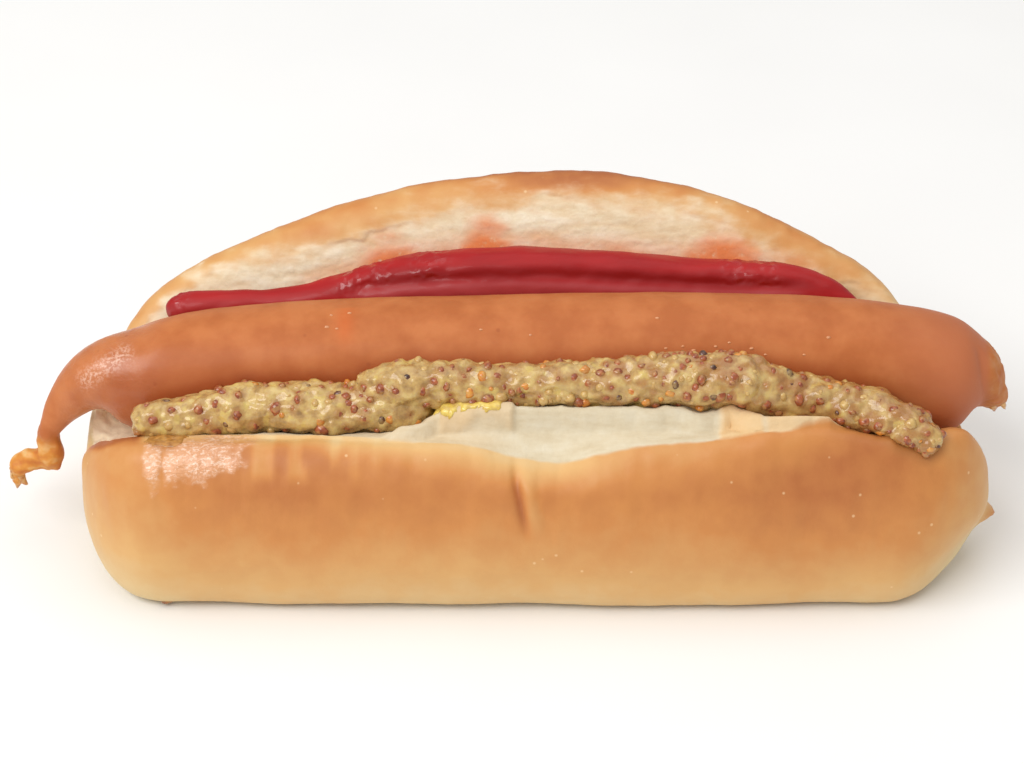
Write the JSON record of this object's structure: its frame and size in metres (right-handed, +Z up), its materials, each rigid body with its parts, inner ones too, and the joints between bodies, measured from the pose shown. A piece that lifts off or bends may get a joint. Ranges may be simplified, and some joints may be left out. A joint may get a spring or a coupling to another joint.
{
  "type": "hot dog",
  "caption": "Frankfurter in a slit soft roll, its twisted tail hanging past one end, with a line of ketchup behind it and grainy mustard in front.",
  "frame": {"origin": "middle of the roll's flat base, on the surface that the roll rests on", "axes": "+X along the roll towards the sausage's blunt end, -Y towards the low front wall with the mustard, +Z up"},
  "size_m": [0.1686, 0.0663, 0.0524],
  "materials": {
    "crust": "satin baked crust over pale torn crumb",
    "casing": "smooth satin sausage casing",
    "ketchup": "wet gloss",
    "mustard": "wet, lumpy, with whole seeds"
  },
  "bodies": {
    "root": {"bun": "crust", "sausage": "casing", "ketchup": "ketchup", "mustard": "mustard"}
  },
  "joints": []
}
